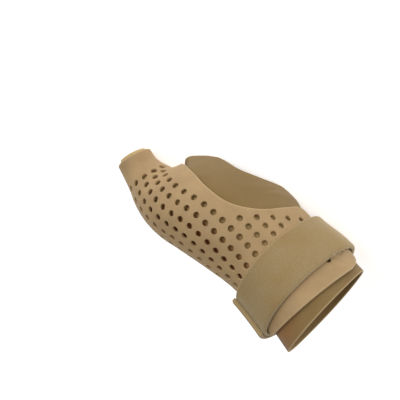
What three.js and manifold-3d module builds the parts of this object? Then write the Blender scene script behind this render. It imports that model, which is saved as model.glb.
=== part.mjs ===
import * as THREE from 'three';
import Module from 'manifold-3d';

// Thumb spica splint in its worn form. Millimetres, +Y towards the thumb rim, -X the thumb side, +Z up.
// A perforated moulded shell lies over a thin liner sleeve, and a hook-and-loop strap holds the wrist.

const wasm = await Module();
wasm.setup();

// Sizes of the hollow that the hand fills
const LENGTH = 136;
const WRIST_WIDTH = 56;
const WRIST_HEIGHT = 41;
const THUMB_WIDTH = 12;
const THUMB_HEIGHT = 14;

// Walls and clearances
const LINER_WALL = 1.0;
const SHELL_WALL = 1.8;
const STRAP_WALL = 2.4;
const LAYER_GAP = 0.55;

// The shell spans a shallow hollow over the base of the thumb, where the liner sinks away from it
const BRIDGE_DEPTH = 2.0;
const BRIDGE = { at: 5.0, angle: 0, reachAt: 1.9, reachAngle: 55 };

// Perforations: a grid laid out by arc length on the shell, along a guide line and round from it. The
// moulding draws the grid out of square: its rows drift, bow and fan out from the thumb to the wrist.
const HOLE_DIAMETER = 3.6;
const HOLE_PITCH_ALONG = 5.87;
const HOLE_PITCH_AROUND = 7.1;
const HOLE_BORDER = 4.9;
const HOLE_APART = 4.8;
const HOLE_RING_CLEAR = 16;
const HOLE_WEB_COLUMN = -3;
const HOLE_WEB_FIRST_ROW = -8;
const HOLE_WEB_LAST_ROW = 0;
const HOLE_GUIDE_ANGLE = 20;
const HOLE_FIRST_ALONG = 83.9;
const HOLE_FIRST_AROUND = 11.4;
const HOLE_ROW_DRIFT = -0.63;
const HOLE_COLUMN_DRIFT = -0.65;
const HOLE_BOW = 0.061;
const HOLE_FAN = 0.113;
const HOLE_CROWD = 0.062;
const HOLE_TWIST = -0.0594;
const HOLE_PAST_STRAP = { at: 8.22, angle: 90.4 };
const HOLE_SIDES = 6;

// Fineness of the grids
const SHELL_COLUMNS = 16;
const LINER_COLUMNS = 22;
const LINER_CROWDING = 0.45;
const STRAP_TURNS = 48;
const SIMPLIFY_WITHIN = 0.11;

// Strap: one turn and a lap, its outer end on the thumb side
const STRAP_WIDTH = 24.5;
const STRAP_AT = 7.75;
const STRAP_LEAN = 0.11;
const STRAP_START_ANGLE = -95;
const STRAP_END_ANGLE = 335;
const STRAP_RAMP_ANGLE = 42;

// Resting attitude: it lies on its little-finger side, on the shell's thumb rim and the liner's wrist,
// first turned and then rolled over. The shell sets the level of the floor and the liner is pressed flat.
const REST_TURN = -21.4;
const REST_ROLL = 90.5;

const radians = THREE.MathUtils.degToRad;

// Sections of the hollow from the thumb rim to the forearm rim. along, side and height are shares of
// LENGTH, WRIST_WIDTH and WRIST_HEIGHT; radial, ulnar, back and palm are shares of the width and height
// named by "of"; yaw and pitch turn the section in degrees; square is the superellipse exponent.
const SECTIONS = [
  {
    of: 'thumb', along: 1.000, side: -0.235, height: -0.360, yaw: -5, pitch: -18,
    radial: 0.54, ulnar: 0.54, back: 0.50, palm: 0.50, square: 2.00,
  },
  {
    of: 'thumb', along: 0.930, side: -0.251, height: -0.409, yaw: -1, pitch: -16,
    radial: 0.58, ulnar: 0.58, back: 0.55, palm: 0.57, square: 2.00,
  },
  {
    of: 'thumb', along: 0.864, side: -0.270, height: -0.388, yaw: -2, pitch: -14,
    radial: 0.75, ulnar: 0.84, back: 0.68, palm: 0.72, square: 2.00,
  },
  {
    of: 'hand', along: 0.801, side: -0.250, height: -0.338, yaw: 3, pitch: 1,
    radial: 0.258, ulnar: 0.215, back: 0.262, palm: 0.372, square: 2.05,
  },
  {
    of: 'hand', along: 0.722, side: -0.183, height: -0.219, yaw: 18, pitch: 2,
    radial: 0.411, ulnar: 0.596, back: 0.413, palm: 0.495, square: 2.10,
  },
  {
    of: 'hand', along: 0.594, side: -0.060, height: -0.091, yaw: 8, pitch: 1,
    radial: 0.502, ulnar: 0.678, back: 0.499, palm: 0.580, square: 2.20,
  },
  {
    of: 'hand', along: 0.449, side: -0.008, height: -0.033, yaw: 3, pitch: 1,
    radial: 0.497, ulnar: 0.596, back: 0.493, palm: 0.537, square: 2.30,
  },
  {
    of: 'hand', along: 0.296, side: 0.010, height: -0.025, yaw: 0, pitch: 0,
    radial: 0.458, ulnar: 0.481, back: 0.462, palm: 0.462, square: 2.30,
  },
  {
    of: 'hand', along: 0.145, side: 0.019, height: 0.010, yaw: 2, pitch: 1,
    radial: 0.495, ulnar: 0.475, back: 0.504, palm: 0.504, square: 2.30,
  },
  {
    of: 'hand', along: 0.000, side: -0.024, height: 0.025, yaw: 6, pitch: 1,
    radial: 0.525, ulnar: 0.505, back: 0.519, palm: 0.519, square: 2.30,
  },
];

// Cut outline of the shell, row by row from the thumb rim: where the row meets its back edge and its palm
// edge. "at" counts sections from the rim; angles run from the thumb side (0) over the back (90) to the
// little-finger side (180), and under the palm they are negative. Rows at 180 and -180 close to a ring.
const SHELL_ROWS = [
  { backAt: 0.18, backAngle: 180, palmAt: 0.18, palmAngle: -180 },
  { backAt: 0.62, backAngle: 180, palmAt: 0.62, palmAngle: -180 },
  { backAt: 1.15, backAngle: 180, palmAt: 1.15, palmAngle: -180 },
  { backAt: 1.70, backAngle: 180, palmAt: 1.70, palmAngle: -180 },
  { backAt: 2.20, backAngle: 180, palmAt: 2.20, palmAngle: -180 },
  { backAt: 2.65, backAngle: 180, palmAt: 2.65, palmAngle: -180 },
  { backAt: 3.12, backAngle: 180, palmAt: 3.12, palmAngle: -180 },
  { backAt: 3.22, backAngle: 150, palmAt: 3.23, palmAngle: -150 },
  { backAt: 3.36, backAngle: 122, palmAt: 3.39, palmAngle: -122 },
  { backAt: 3.60, backAngle: 103, palmAt: 3.65, palmAngle: -98 },
  { backAt: 4.12, backAngle: 85, palmAt: 4.15, palmAngle: -76 },
  { backAt: 4.70, backAngle: 68, palmAt: 4.72, palmAngle: -61 },
  { backAt: 5.30, backAngle: 62, palmAt: 5.30, palmAngle: -54 },
  { backAt: 5.79, backAngle: 67, palmAt: 5.80, palmAngle: -54 },
  { backAt: 6.19, backAngle: 81, palmAt: 6.22, palmAngle: -57 },
  { backAt: 6.47, backAngle: 107, palmAt: 6.58, palmAngle: -61 },
  { backAt: 6.62, backAngle: 127, palmAt: 6.90, palmAngle: -65 },
  { backAt: 6.95, backAngle: 134, palmAt: 7.22, palmAngle: -68 },
  { backAt: 7.50, backAngle: 134, palmAt: 7.62, palmAngle: -69 },
  { backAt: 8.05, backAngle: 134, palmAt: 7.98, palmAngle: -69 },
  { backAt: 8.48, backAngle: 132, palmAt: 8.26, palmAngle: -67 },
  { backAt: 8.70, backAngle: 125, palmAt: 8.40, palmAngle: -61 },
  { backAt: 8.80, backAngle: 110, palmAt: 8.46, palmAngle: -50 },
];

// Cut outline of the liner sleeve in the same columns; the opening lets the fingers and palm out
const LINER_ROWS = [
  { backAt: 0.00, backAngle: 180, palmAt: 0.00, palmAngle: -180 },
  { backAt: 0.55, backAngle: 180, palmAt: 0.55, palmAngle: -180 },
  { backAt: 1.15, backAngle: 180, palmAt: 1.15, palmAngle: -180 },
  { backAt: 1.70, backAngle: 180, palmAt: 1.70, palmAngle: -180 },
  { backAt: 2.20, backAngle: 180, palmAt: 2.20, palmAngle: -180 },
  { backAt: 2.65, backAngle: 180, palmAt: 2.65, palmAngle: -180 },
  { backAt: 3.22, backAngle: 180, palmAt: 3.22, palmAngle: -180 },
  { backAt: 3.27, backAngle: 160, palmAt: 3.28, palmAngle: -156 },
  { backAt: 3.42, backAngle: 148, palmAt: 3.45, palmAngle: -138 },
  { backAt: 3.74, backAngle: 134, palmAt: 3.78, palmAngle: -118 },
  { backAt: 4.30, backAngle: 121, palmAt: 4.32, palmAngle: -102 },
  { backAt: 4.90, backAngle: 109, palmAt: 4.90, palmAngle: -95 },
  { backAt: 5.44, backAngle: 114, palmAt: 5.44, palmAngle: -99 },
  { backAt: 5.84, backAngle: 128, palmAt: 5.84, palmAngle: -114 },
  { backAt: 6.08, backAngle: 145, palmAt: 6.12, palmAngle: -134 },
  { backAt: 6.23, backAngle: 162, palmAt: 6.27, palmAngle: -156 },
  { backAt: 6.32, backAngle: 180, palmAt: 6.32, palmAngle: -180 },
  { backAt: 6.90, backAngle: 180, palmAt: 6.90, palmAngle: -180 },
  { backAt: 7.40, backAngle: 180, palmAt: 7.40, palmAngle: -180 },
  { backAt: 7.90, backAngle: 180, palmAt: 7.90, palmAngle: -180 },
  { backAt: 8.45, backAngle: 180, palmAt: 8.45, palmAngle: -180 },
  { backAt: 9.00, backAngle: 180, palmAt: 9.00, palmAngle: -180 },
];

// Catmull-Rom blend of one named column of a table; the ends carry on straight
function blend(table, place, column) {
  const last = table.length - 1;
  const clamped = Math.min(Math.max(place, 0), last);
  const i = Math.min(Math.floor(clamped), last - 1);
  const t = clamped - i;
  const b = table[i][column];
  const c = table[i + 1][column];
  const a = i > 0 ? table[i - 1][column] : 2 * b - c;
  const d = i + 2 <= last ? table[i + 2][column] : 2 * c - b;
  const slope = c - a;
  const square = 2 * a - 5 * b + 4 * c - d;
  const cube = 3 * b - a - 3 * c + d;
  return b + 0.5 * t * (slope + t * (square + t * cube));
}

// Sections with their shares turned into millimetres
const MEASURED = SECTIONS.map((row) => {
  const width = row.of === 'thumb' ? THUMB_WIDTH : WRIST_WIDTH;
  const height = row.of === 'thumb' ? THUMB_HEIGHT : WRIST_HEIGHT;
  return {
    x: row.side * WRIST_WIDTH,
    y: row.along * LENGTH,
    z: row.height * WRIST_HEIGHT,
    yaw: row.yaw,
    pitch: row.pitch,
    radial: row.radial * width,
    ulnar: row.ulnar * width,
    back: row.back * height,
    palm: row.palm * height,
    square: row.square,
  };
});

// Point on the wall of the hollow
function hollowPoint(at, angle) {
  const value = (column) => blend(MEASURED, at, column);
  const yaw = radians(value('yaw'));
  const pitch = radians(value('pitch'));
  const across = new THREE.Vector3(Math.cos(yaw), Math.sin(yaw), 0);
  const forward = new THREE.Vector3(
    -Math.sin(yaw) * Math.cos(pitch),
    Math.cos(yaw) * Math.cos(pitch),
    -Math.sin(pitch),
  );
  const up = new THREE.Vector3().crossVectors(across, forward);
  const c = Math.cos(radians(angle));
  const s = Math.sin(radians(angle));
  const square = value('square');
  const reach = (Math.abs(c) ** square + Math.abs(s) ** square) ** (-1 / square);
  const halfWidth = value(c > 0 ? 'radial' : 'ulnar');
  const halfHeight = value(s > 0 ? 'back' : 'palm');
  return new THREE.Vector3(value('x'), value('y'), value('z'))
    .addScaledVector(across, -c * reach * halfWidth)
    .addScaledVector(up, s * reach * halfHeight);
}

// Point at a distance outside the wall of the hollow
function formPoint(at, angle, offset) {
  const step = 0.002;
  const turn = 0.1;
  const alongWall = hollowPoint(at + step, angle).sub(hollowPoint(at - step, angle));
  const roundWall = hollowPoint(at, angle + turn).sub(hollowPoint(at, angle - turn));
  const normal = new THREE.Vector3().crossVectors(alongWall, roundWall).normalize();
  return hollowPoint(at, angle).addScaledVector(normal, offset);
}

// How far the liner sinks below the shell
function bridgeSink(at, angle) {
  const a = (at - BRIDGE.at) / BRIDGE.reachAt;
  const b = (angle - BRIDGE.angle) / BRIDGE.reachAngle;
  return BRIDGE_DEPTH * Math.exp(-(a * a) - b * b);
}

// Stretches of the form where an outline's rows are closer, as a share of the table's own spacing
const FINE_ROWS = [
  { name: 'thumb', from: 0.0, to: 2.6, spacing: 0.5 },
  { name: 'web', from: 2.6, to: 3.7, spacing: 0.25 },
  { name: 'thumb_joint', from: 3.7, to: 4.4, spacing: 0.5 },
  { name: 'wrist', from: 5.7, to: 6.9, spacing: 0.5 },
];

const SHELL_INSIDE = LINER_WALL + LAYER_GAP;
const SHELL_OUTSIDE = SHELL_INSIDE + SHELL_WALL;

// Rows of a cut outline, with more rows blended in between those of the table where the form bends
// most. A row is closed where it goes all round.
function outlineRows(table) {
  const rows = [];
  for (let place = 0; place <= table.length - 1; place += 0.25) {
    const at = table[Math.floor(place)].backAt;
    const spacing = FINE_ROWS.find((zone) => at >= zone.from && at < zone.to)?.spacing ?? 1;
    if (place % spacing === 0) {
      rows.push(outlineRow(table, place));
    }
  }
  return rows;
}

// One row of a cut outline, at any place in its table
function outlineRow(table, place) {
  const row = {};
  for (const column of Object.keys(table[0])) {
    row[column] = blend(table, place, column);
  }
  const near = [table[Math.floor(place)], table[Math.ceil(place)]];
  row.closed = near.every((entry) => entry.backAngle === 180);
  row.backAngle = row.closed ? 180 : Math.min(row.backAngle, 179);
  row.palmAngle = row.closed ? -180 : Math.max(row.palmAngle, -179);
  return row;
}

// Place on a row, from its palm edge (0) to its back edge (1)
function onRow(row, share) {
  return {
    at: THREE.MathUtils.lerp(row.palmAt, row.backAt, share),
    angle: THREE.MathUtils.lerp(row.palmAngle, row.backAngle, share),
  };
}

// Closed solid between two faces of a grid. A closed row joins its last column to its first, and
// face(row, column) gives the inner and outer point.
function gridSolid(rows, columns, face) {
  const points = [];
  const index = [];
  rows.forEach((row) => {
    const line = [];
    for (let j = 0; j <= columns; j += 1) {
      if (row.closed && j === columns) {
        line.push(line[0]);
      } else {
        const pair = face(row, j / columns);
        line.push(points.length);
        points.push(pair.inner, pair.outer);
      }
    }
    index.push(line);
  });
  const triangles = [];
  const quad = (a, b, c, d) => triangles.push(a, b, c, a, c, d);
  const last = rows.length - 1;
  for (let k = 0; k < last; k += 1) {
    const here = index[k];
    const next = index[k + 1];
    for (let j = 0; j < columns; j += 1) {
      quad(here[j] + 1, next[j] + 1, next[j + 1] + 1, here[j + 1] + 1);
      quad(here[j], here[j + 1], next[j + 1], next[j]);
    }
    if (!(rows[k].closed && rows[k + 1].closed)) {
      quad(here[0], next[0], next[0] + 1, here[0] + 1);
      quad(next[columns], here[columns], here[columns] + 1, next[columns] + 1);
    }
  }
  for (let j = 0; j < columns; j += 1) {
    quad(index[0][j], index[0][j] + 1, index[0][j + 1] + 1, index[0][j + 1]);
    quad(index[last][j + 1], index[last][j + 1] + 1, index[last][j] + 1, index[last][j]);
  }
  return toManifold(points, triangles);
}

function toManifold(points, triangles) {
  const vertProperties = new Float32Array(points.flatMap((p) => [p.x, p.y, p.z]));
  let volume = 0;
  for (let i = 0; i < triangles.length; i += 3) {
    const [a, b, c] = [points[triangles[i]], points[triangles[i + 1]], points[triangles[i + 2]]];
    volume += a.dot(new THREE.Vector3().crossVectors(b, c)) / 6;
  }
  const ordered = volume > 0 ? triangles : [...triangles].reverse();
  const mesh = new wasm.Mesh({ numProp: 3, vertProperties, triVerts: new Uint32Array(ordered) });
  return new wasm.Manifold(mesh);
}

function toMesh(name, solid, material) {
  const { vertProperties, triVerts } = solid.getMesh();
  const indexed = new THREE.BufferGeometry();
  indexed.setAttribute('position', new THREE.BufferAttribute(new Float32Array(vertProperties), 3));
  indexed.setIndex(new THREE.BufferAttribute(new Uint32Array(triVerts), 1));
  const geometry = indexed.toNonIndexed();
  geometry.computeVertexNormals();
  const mesh = new THREE.Mesh(geometry, material);
  mesh.name = name;
  return mesh;
}

// Round bars that cut the perforations, square to the shell at each hole
function holeCenters() {
  const rows = [];
  for (let place = 0; place <= SHELL_ROWS.length - 1; place += 0.125) {
    rows.push(outlineRow(SHELL_ROWS, place));
  }
  const outline = [];
  rows.forEach((row) => {
    if (!row.closed) {
      outline.push(onRow(row, 1), onRow(row, 0));
    }
  });
  for (let j = 0; j <= 40; j += 1) {
    outline.push(onRow(rows[rows.length - 1], j / 40));
  }
  const edge = outline.map((place) => formPoint(place.at, place.angle, SHELL_OUTSIDE));
  const backLimit = (at) => limitAt(rows, at, 'back');
  const palmLimit = (at) => limitAt(rows, at, 'palm');

  const guide = [];
  let length = 0;
  let before = formPoint(0, HOLE_GUIDE_ANGLE, SHELL_OUTSIDE);
  for (let at = 0; at <= SECTIONS.length - 1; at += 0.01) {
    const point = formPoint(at, HOLE_GUIDE_ANGLE, SHELL_OUTSIDE);
    length += point.distanceTo(before);
    guide.push({ at, length });
    before = point;
  }
  const strapEdge = STRAP_AT - 0.62;
  const reach = Math.ceil(LENGTH / HOLE_PITCH_ALONG);
  const centers = [];
  for (let i = -reach; i <= reach; i += 1) {
    for (let j = -reach; j <= reach; j += 1) {
      const bow = HOLE_BOW * (i * i + j * j) - HOLE_TWIST * i * j;
      const along = HOLE_FIRST_ALONG + HOLE_PITCH_ALONG * i + HOLE_COLUMN_DRIFT * j - bow;
      const crowd = HOLE_CROWD * j * j;
      const pitchHere = HOLE_PITCH_AROUND + HOLE_FAN * i;
      const around = HOLE_FIRST_AROUND + HOLE_ROW_DRIFT * i + pitchHere * j - crowd;
      const found = guide.find((entry) => entry.length >= along);
      const plainWeb = i < HOLE_WEB_COLUMN && (j < HOLE_WEB_FIRST_ROW || j > HOLE_WEB_LAST_ROW);
      if (plainWeb || along < HOLE_RING_CLEAR || !found || found.at > strapEdge) {
        continue;
      }
      const angle = angleAtArc(found.at, around);
      if (angle === null || angle > backLimit(found.at) || angle < palmLimit(found.at)) {
        continue;
      }
      const center = formPoint(found.at, angle, SHELL_OUTSIDE);
      const clearOfEdge = edge.every((point) => point.distanceTo(center) > HOLE_BORDER);
      const clearOfHoles = centers.every((other) => other.center.distanceTo(center) > HOLE_APART);
      if (clearOfEdge && clearOfHoles) {
        centers.push({ at: found.at, angle, center });
      }
    }
  }
  centers.push(HOLE_PAST_STRAP);
  return centers;
}

function limitAt(rows, at, side) {
  const k = rows.findIndex((row) => row[`${side}At`] >= at);
  return k < 0 ? 0 : rows[k][`${side}Angle`];
}

// Angle reached by going a signed arc length round a section, starting at the guide angle
function angleAtArc(at, arc) {
  const step = Math.sign(arc) * 2;
  let angle = HOLE_GUIDE_ANGLE;
  let here = formPoint(at, angle, SHELL_OUTSIDE);
  let left = Math.abs(arc);
  while (left > 0 && Math.abs(angle - HOLE_GUIDE_ANGLE) < 180) {
    const next = formPoint(at, angle + step, SHELL_OUTSIDE);
    const stride = next.distanceTo(here);
    if (stride >= left) {
      return angle + (step * left) / stride;
    }
    left -= stride;
    angle += step;
    here = next;
  }
  return left > 0 ? null : angle;
}

function holeBar({ at, angle }) {
  const inner = formPoint(at, angle, LINER_WALL);
  const outer = formPoint(at, angle, SHELL_OUTSIDE + LAYER_GAP * 2);
  const axis = outer.clone().sub(inner);
  const bar = new THREE.CylinderGeometry(HOLE_DIAMETER / 2, HOLE_DIAMETER / 2, axis.length(), HOLE_SIDES);
  const turn = new THREE.Quaternion().setFromUnitVectors(new THREE.Vector3(0, 1, 0), axis.clone().normalize());
  const middle = inner.clone().add(outer).multiplyScalar(0.5);
  bar.applyMatrix4(new THREE.Matrix4().compose(middle, turn, new THREE.Vector3(1, 1, 1)));
  return bar;
}

function barManifold(bar) {
  const position = bar.getAttribute('position');
  const keys = new Map();
  const points = [];
  const remap = [];
  for (let i = 0; i < position.count; i += 1) {
    const p = new THREE.Vector3().fromBufferAttribute(position, i);
    const key = [p.x, p.y, p.z].map((v) => v.toFixed(3)).join(' ');
    if (!keys.has(key)) {
      keys.set(key, points.length);
      points.push(p);
    }
    remap.push(keys.get(key));
  }
  return toManifold(points, Array.from(bar.index.array, (i) => remap[i]));
}

const rest = new THREE.Quaternion().setFromEuler(new THREE.Euler(0, radians(REST_ROLL), radians(REST_TURN)));
const down = new THREE.Vector3(0, 0, -1).applyQuaternion(rest.clone().invert());

// Depth of the shell's lowest point
function floorDepth() {
  let depth = -Infinity;
  for (const row of outlineRows(SHELL_ROWS)) {
    for (let j = 0; j <= SHELL_COLUMNS; j += 1) {
      const { at, angle } = onRow(row, j / SHELL_COLUMNS);
      depth = Math.max(depth, formPoint(at, angle, SHELL_OUTSIDE).dot(down));
    }
  }
  return depth;
}

// Liner: a thin sleeve next to the skin
function linerSolid() {
  const floor = floorDepth();
  const pressed = (point, height) => {
    const excess = Math.max(point.dot(down) + height - floor, 0);
    return point.addScaledVector(down, -excess);
  };
  const rows = outlineRows(LINER_ROWS);
  const solid = gridSolid(rows, LINER_COLUMNS, (row, share) => {
    // Columns crowd towards the little-finger side, where the liner is pressed
    const crowd = (LINER_CROWDING * Math.sin(2 * Math.PI * share)) / (2 * Math.PI);
    const { at, angle } = onRow(row, share - crowd);
    const sink = bridgeSink(at, angle);
    const inner = pressed(formPoint(at, angle, -sink), LINER_WALL);
    const outer = pressed(formPoint(at, angle, LINER_WALL - sink), 0);
    return { inner, outer };
  });
  return solid.simplify(SIMPLIFY_WITHIN);
}

// Shell: moulded sheet over the liner, perforated
function shellSolid() {
  const rows = outlineRows(SHELL_ROWS);
  let solid = gridSolid(rows, SHELL_COLUMNS, (row, share) => {
    const { at, angle } = onRow(row, share);
    return { inner: formPoint(at, angle, SHELL_INSIDE), outer: formPoint(at, angle, SHELL_OUTSIDE) };
  });
  for (const center of holeCenters()) {
    solid = solid.subtract(barManifold(holeBar(center)));
  }
  return solid.asOriginal().simplify(SIMPLIFY_WITHIN);
}

// Strap: a flat band wound once round the wrist over the shell, its outer end lapped over its start
function strapSolid() {
  const lift = STRAP_WALL + LAYER_GAP;
  const rampStart = STRAP_START_ANGLE + 360 - STRAP_RAMP_ANGLE;
  const rows = [];
  for (let k = 0; k <= STRAP_TURNS; k += 1) {
    const angle = THREE.MathUtils.lerp(STRAP_START_ANGLE, STRAP_END_ANGLE, k / STRAP_TURNS);
    rows.push({ closed: false, angle });
  }
  return gridSolid(rows, 3, (row, share) => {
    const middle = STRAP_AT - STRAP_LEAN * Math.cos(radians(row.angle - 90));
    const perStep = hollowPoint(middle + 0.5, row.angle).distanceTo(hollowPoint(middle - 0.5, row.angle));
    const at = middle + ((share - 0.5) * STRAP_WIDTH) / perStep;
    const lapped = THREE.MathUtils.smoothstep(row.angle, rampStart, rampStart + STRAP_RAMP_ANGLE - 2);
    const under = SHELL_OUTSIDE + LAYER_GAP + lift * lapped;
    return { inner: formPoint(at, row.angle, under), outer: formPoint(at, row.angle, under + STRAP_WALL) };
  });
}

const materials = {
  shell: new THREE.MeshStandardMaterial({ color: '#ac9473', roughness: 0.6, metalness: 0 }),
  liner: new THREE.MeshStandardMaterial({ color: '#91784e', roughness: 0.95, metalness: 0 }),
  strap: new THREE.MeshStandardMaterial({ color: '#9b8258', roughness: 0.95, metalness: 0 }),
};

const splint = new THREE.Group();
splint.add(toMesh('shell', shellSolid(), materials.shell));
splint.add(toMesh('liner', linerSolid(), materials.liner));
splint.add(toMesh('strap', strapSolid(), materials.strap));
splint.quaternion.copy(rest);

const part = new THREE.Group();
part.add(splint);
part.updateMatrixWorld(true);
const bounds = new THREE.Box3().setFromObject(part, true);
const middle = bounds.getCenter(new THREE.Vector3());
splint.position.set(-middle.x, -middle.y, -bounds.min.z);

export default part;
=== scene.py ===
import math

import bmesh
import bpy
import numpy as np
from mathutils import Matrix, Vector
from mathutils.kdtree import KDTree


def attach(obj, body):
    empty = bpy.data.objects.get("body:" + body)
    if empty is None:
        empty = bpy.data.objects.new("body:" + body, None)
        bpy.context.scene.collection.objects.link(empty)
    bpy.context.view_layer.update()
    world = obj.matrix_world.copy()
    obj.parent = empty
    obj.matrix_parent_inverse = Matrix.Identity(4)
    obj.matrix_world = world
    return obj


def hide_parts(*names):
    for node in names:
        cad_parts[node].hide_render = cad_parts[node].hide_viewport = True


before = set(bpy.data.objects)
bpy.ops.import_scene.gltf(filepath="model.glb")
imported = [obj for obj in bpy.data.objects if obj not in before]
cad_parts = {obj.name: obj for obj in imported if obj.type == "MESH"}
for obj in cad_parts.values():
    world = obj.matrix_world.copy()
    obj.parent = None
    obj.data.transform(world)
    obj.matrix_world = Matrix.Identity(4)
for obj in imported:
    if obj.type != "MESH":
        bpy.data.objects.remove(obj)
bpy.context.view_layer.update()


def add_object(name, data):
    """A new object in the scene, unturned at the origin."""
    thing = bpy.data.objects.new(name, data)
    bpy.context.scene.collection.objects.link(thing)
    return thing


def linear(hex_colour):
    """An sRGB hex colour as the linear colour that a shader reads."""
    parts = [int(hex_colour[i:i + 2], 16) / 255 for i in (1, 3, 5)]
    return (*[p / 12.92 if p <= 0.04045 else ((p + 0.055) / 1.055) ** 2.4 for p in parts], 1.0)


def add_node(tree, kind, inputs=None, **settings):
    """Adds a node with its settings. An input takes a value, or another node's output to link to."""
    node = tree.nodes.new(kind)
    for name, value in settings.items():
        setattr(node, name, value)
    for name, value in (inputs or {}).items():
        if isinstance(value, bpy.types.NodeSocket):
            tree.links.new(value, node.inputs[name])
        else:
            node.inputs[name].default_value = value
    return node


def new_material(name):
    """An empty node material, its tree, and the point on the object that its textures start from."""
    material = bpy.data.materials.new(name)
    material.use_nodes = True
    tree = material.node_tree
    tree.nodes.clear()
    return material, tree, add_node(tree, "ShaderNodeTexCoord").outputs["Object"]


def noise(tree, point, scale, detail=2.0, roughness=0.5):
    """Noise about 0.5, with its scale in waves to the metre."""
    return add_node(tree, "ShaderNodeTexNoise", {
        "Vector": point, "Scale": scale, "Detail": detail, "Roughness": roughness,
    }).outputs["Fac"]


def ranged(tree, value, low, high, to_low=0.0, to_high=1.0):
    """A value taken from one range to another and held at both ends."""
    return add_node(tree, "ShaderNodeMapRange", {
        "Value": value, "From Min": low, "From Max": high, "To Min": to_low, "To Max": to_high,
    }).outputs["Result"]


def mesh_value(tree, name):
    """What the mesh keeps under a name at each point."""
    return add_node(tree, "ShaderNodeAttribute", attribute_name=name).outputs["Fac"]


def mixed(tree, share, first, second):
    """The colour between two, each of them a hex colour or a node's output."""
    ends = [linear(end) if isinstance(end, str) else end for end in (first, second)]
    return add_node(tree, "ShaderNodeMix", {
        "Factor": share, "A": ends[0], "B": ends[1],
    }, data_type="RGBA").outputs["Result"]


def calculate(tree, operation, *values):
    """The result of one step of arithmetic on numbers or node outputs."""
    return add_node(tree, "ShaderNodeMath", dict(enumerate(values)), operation=operation).outputs[0]


def bumped(tree, height, strength, distance):
    """The surface's direction with a fine relief in it."""
    return add_node(tree, "ShaderNodeBump", {
        "Height": height, "Strength": strength, "Distance": distance,
    }).outputs["Normal"]


def finish_surface(tree, inputs):
    """Closes a material's tree with its one surface."""
    surface = add_node(tree, "ShaderNodeBsdfPrincipled", inputs)
    add_node(tree, "ShaderNodeOutputMaterial", {"Surface": surface.outputs["BSDF"]})


def new_group(name, inputs, output):
    """A geometry node group, its input sockets by name, and what comes in through them."""
    group = bpy.data.node_groups.new(name, "GeometryNodeTree")
    sockets = {
        label: group.interface.new_socket(label, in_out="INPUT", socket_type="NodeSocket" + kind)
        for label, kind in inputs.items()
    }
    group.interface.new_socket(output, in_out="OUTPUT", socket_type="NodeSocketGeometry")
    return group, sockets, add_node(group, "NodeGroupInput").outputs


def close_group(group, geometry, finish, output):
    """Ends a node group: the copies are made real and take the material given to the group."""
    whole = add_node(group, "GeometryNodeRealizeInstances", {"Geometry": geometry})
    finished = add_node(group, "GeometryNodeSetMaterial", {
        "Geometry": whole.outputs["Geometry"], "Material": finish,
    })
    add_node(group, "NodeGroupOutput", {output: finished.outputs["Geometry"]})


def run_group(group, sockets, source, values, name, material):
    """What a node group makes of an object, as a plain smooth mesh in one material."""
    modifier = source.modifiers.new(group.name, "NODES")
    modifier.node_group = group
    for label, value in values.items():
        modifier[sockets[label].identifier] = value
    graph = bpy.context.evaluated_depsgraph_get()
    mesh = bpy.data.meshes.new_from_object(source.evaluated_get(graph))
    source.modifiers.remove(modifier)
    mesh.name = name
    mesh.shade_smooth()
    mesh.materials.clear()
    mesh.materials.append(material)
    return mesh


# The studio
# The splint lies on a pale table, on its little-finger side. It is shaped in its own axes, +Y towards the
# thumb rim and -X the thumb side, and then turned and rolled over to rest. The camera turns with it.
REST_TURN = math.radians(-21.4)
REST_ROLL = math.radians(90.5)
REST_SHIFT = (0.002674, -0.063966, 0.045366)
to_rest = (
    Matrix.Translation(REST_SHIFT) @ Matrix.Rotation(REST_ROLL, 4, "Y") @ Matrix.Rotation(REST_TURN, 4, "Z")
)

VIEW_TURN = math.radians(40)
VIEW_RISE = math.radians(18)
VIEW_ROLL = math.radians(133)
VIEW_TARGET = Vector((-0.012, 0.0866, 0.0))
VIEW_DISTANCE = 0.450
VIEW_LENS = 76.95
SENSOR_WIDTH = 36

towards_camera = Vector((
    -math.sin(VIEW_TURN) * math.cos(VIEW_RISE),
    -math.sin(VIEW_RISE),
    math.cos(VIEW_TURN) * math.cos(VIEW_RISE),
))
along = Vector((0, 1, 0))
along = (along - towards_camera * along.dot(towards_camera)).normalized()
across = along.cross(towards_camera)
image_right = math.cos(VIEW_ROLL) * along + math.sin(VIEW_ROLL) * across
image_up = math.sin(VIEW_ROLL) * along - math.cos(VIEW_ROLL) * across

camera_data = bpy.data.cameras.new("camera")
camera_data.lens = VIEW_LENS
camera_data.sensor_width = SENSOR_WIDTH
camera_data.clip_start = 0.01
camera = add_object("camera", camera_data)
placed = Matrix((image_right, image_up, towards_camera)).transposed().to_4x4()
placed.translation = VIEW_TARGET + towards_camera * VIEW_DISTANCE
camera.matrix_world = to_rest @ placed
bpy.context.scene.camera = camera
bpy.context.scene.view_settings.view_transform = "Standard"

FLOOR_SIZE = 6.0
FLOOR_GLOW = 0.60
ROOM_LIGHT = 0.45
WHITE = (1.0, 1.0, 1.0, 1.0)
floor_material, tree, point = new_material("matt_white_table")
finish_surface(tree, {
    "Base Color": mixed(tree, noise(tree, point, 3.0), "#f7f7f6", "#fbfbfb"),
    "Roughness": 0.9,
    "Specular IOR Level": 0.1,
    "Emission Color": WHITE,
    "Emission Strength": FLOOR_GLOW,
})
half = FLOOR_SIZE / 2
floor_corners = [(-half, -half, 0), (half, -half, 0), (half, half, 0), (-half, half, 0)]
floor_mesh = bpy.data.meshes.new("table_top")
floor_mesh.from_pydata(floor_corners, [], [(0, 1, 2, 3)])
floor_mesh.materials.append(floor_material)
table_top = add_object("table_top", floor_mesh)

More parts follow.
